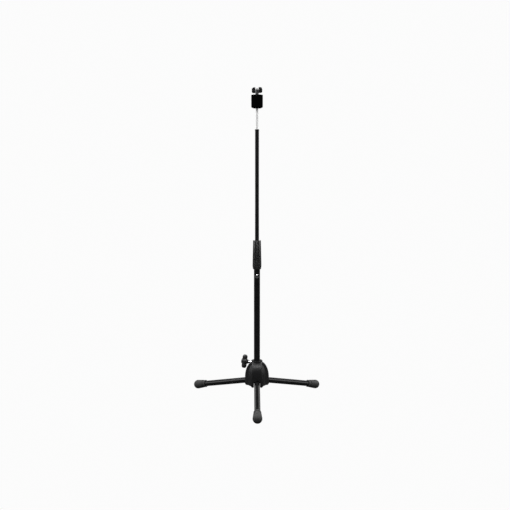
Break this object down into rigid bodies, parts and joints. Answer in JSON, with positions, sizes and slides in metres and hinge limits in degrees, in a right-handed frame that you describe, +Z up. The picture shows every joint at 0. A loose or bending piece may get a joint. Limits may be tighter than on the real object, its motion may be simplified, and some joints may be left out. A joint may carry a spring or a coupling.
{
  "type": "trumpet stand",
  "caption": "Tall floor stand for a trumpet: folding tripod base, telescopic column with a twist clutch, and a soft peg held by a wing nut.",
  "frame": {"origin": "middle of the footprint's bounding box, on the floor; the column stands 59.1 mm behind it", "axes": "+Z up along the column; -Y towards the front leg; +X to the right as seen from the front"},
  "size_m": [0.4394, 0.3845, 1.0215],
  "materials": {
    "hub_black": "semi-gloss black coat on a die casting",
    "tube_black": "smooth gloss black powder coat on steel tube",
    "cap_rubber": "matt moulded rubber",
    "nylon_black": "plain moulded nylon",
    "knob_plastic": "moulded, finely textured",
    "grip_plastic": "moulded, satin gloss",
    "chrome": "bright plated steel",
    "brass": "turned brass",
    "felt_black": "dense black felt"
  },
  "bodies": {
    "hub": {"base_hub": "hub_black", "hub_ring": "nylon_black", "clamp_insert": "brass", "pivot_pin_front": "chrome", "pivot_pin_right": "chrome", "pivot_pin_left": "chrome"},
    "leg_front": {"leg_tube_front": "tube_black", "leg_root_front": "nylon_black", "foot_cap_front": "cap_rubber"},
    "leg_right": {"leg_tube_right": "tube_black", "leg_root_right": "nylon_black", "foot_cap_right": "cap_rubber"},
    "leg_left": {"leg_tube_left": "tube_black", "leg_root_left": "nylon_black", "foot_cap_left": "cap_rubber"},
    "column": {"lower_tube": "tube_black", "column_plug": "nylon_black", "clutch_body": "nylon_black", "clutch_button": "chrome"},
    "collet": {"clutch_collet": "nylon_black"},
    "grip": {"clutch_grip": "grip_plastic"},
    "mast": {"upper_tube": "tube_black", "mast_glide": "nylon_black", "mast_plug": "nylon_black", "peg_rod": "chrome", "seat_washer": "chrome", "seat_nut": "chrome", "bell_rest": "felt_black", "rest_sleeve": "nylon_black"},
    "washer": {"top_washer": "chrome"},
    "wing_nut": {"wing_nut": "chrome"},
    "shoe": {"clamp_shoe": "brass"},
    "clamp": {"clamp_screw": "chrome", "clamp_knob": "knob_plastic"}
  },
  "joints": [
    {"name": "leg_fold_front", "type": "hinge", "parent": "hub", "child": "leg_front", "pos_m": [0, 0.03512, 0.06237], "axis": [1, 0, 0], "range_deg": [0, 77.2]},
    {"name": "leg_fold_right", "type": "hinge", "parent": "hub", "child": "leg_right", "pos_m": [0.02079, 0.07112, 0.06237], "axis": [-0.5, 0.866, 0], "range_deg": [0, 77.2]},
    {"name": "leg_fold_left", "type": "hinge", "parent": "hub", "child": "leg_left", "pos_m": [-0.02079, 0.07112, 0.06237], "axis": [-0.5, -0.866, 0], "range_deg": [0, 77.2]},
    {"name": "column_lift", "type": "slide", "parent": "hub", "child": "column", "axis": [0, 0, 1], "range_m": [0, 0.0256]},
    {"name": "mast_height", "type": "slide", "parent": "column", "child": "mast", "axis": [0, 0, 1], "range_m": [-0.262, 0.024]},
    {"name": "collet_slide", "type": "slide", "parent": "column", "child": "collet", "axis": [0, 0, 1], "range_m": [0, 0.0015]},
    {"name": "grip_turn", "type": "hinge", "parent": "collet", "child": "grip", "pos_m": [0, 0.05912, 0.485], "axis": [0, 0, 1], "range_deg": [0, 270]},
    {"name": "washer_slide", "type": "slide", "parent": "mast", "child": "washer", "axis": [0, 0, 1], "range_m": [0, 0.0025]},
    {"name": "wing_nut_turn", "type": "hinge", "parent": "washer", "child": "wing_nut", "pos_m": [0, 0.05912, 1.008], "axis": [0, 0, 1], "range_deg": [0, 720]},
    {"name": "shoe_slide", "type": "slide", "parent": "hub", "child": "shoe", "axis": [-0.866, 0.5, 0], "range_m": [0, 0.0025]},
    {"name": "clamp_turn", "type": "hinge", "parent": "shoe", "child": "clamp", "pos_m": [-0.03464, 0.07912, 0.122], "axis": [-0.866, 0.5, 0], "range_deg": [0, 720]}
  ],
  "couplings": [
    {"joint": "leg_fold_right", "follows": "leg_fold_front", "ratio": 1},
    {"joint": "leg_fold_left", "follows": "leg_fold_front", "ratio": 1},
    {"joint": "column_lift", "follows": "leg_fold_front", "m_per_rad": 0.018908},
    {"joint": "grip_turn", "follows": "collet_slide", "rad_per_m": 3141.6},
    {"joint": "wing_nut_turn", "follows": "washer_slide", "rad_per_m": 5026.5},
    {"joint": "clamp_turn", "follows": "shoe_slide", "rad_per_m": 5026.5}
  ]
}
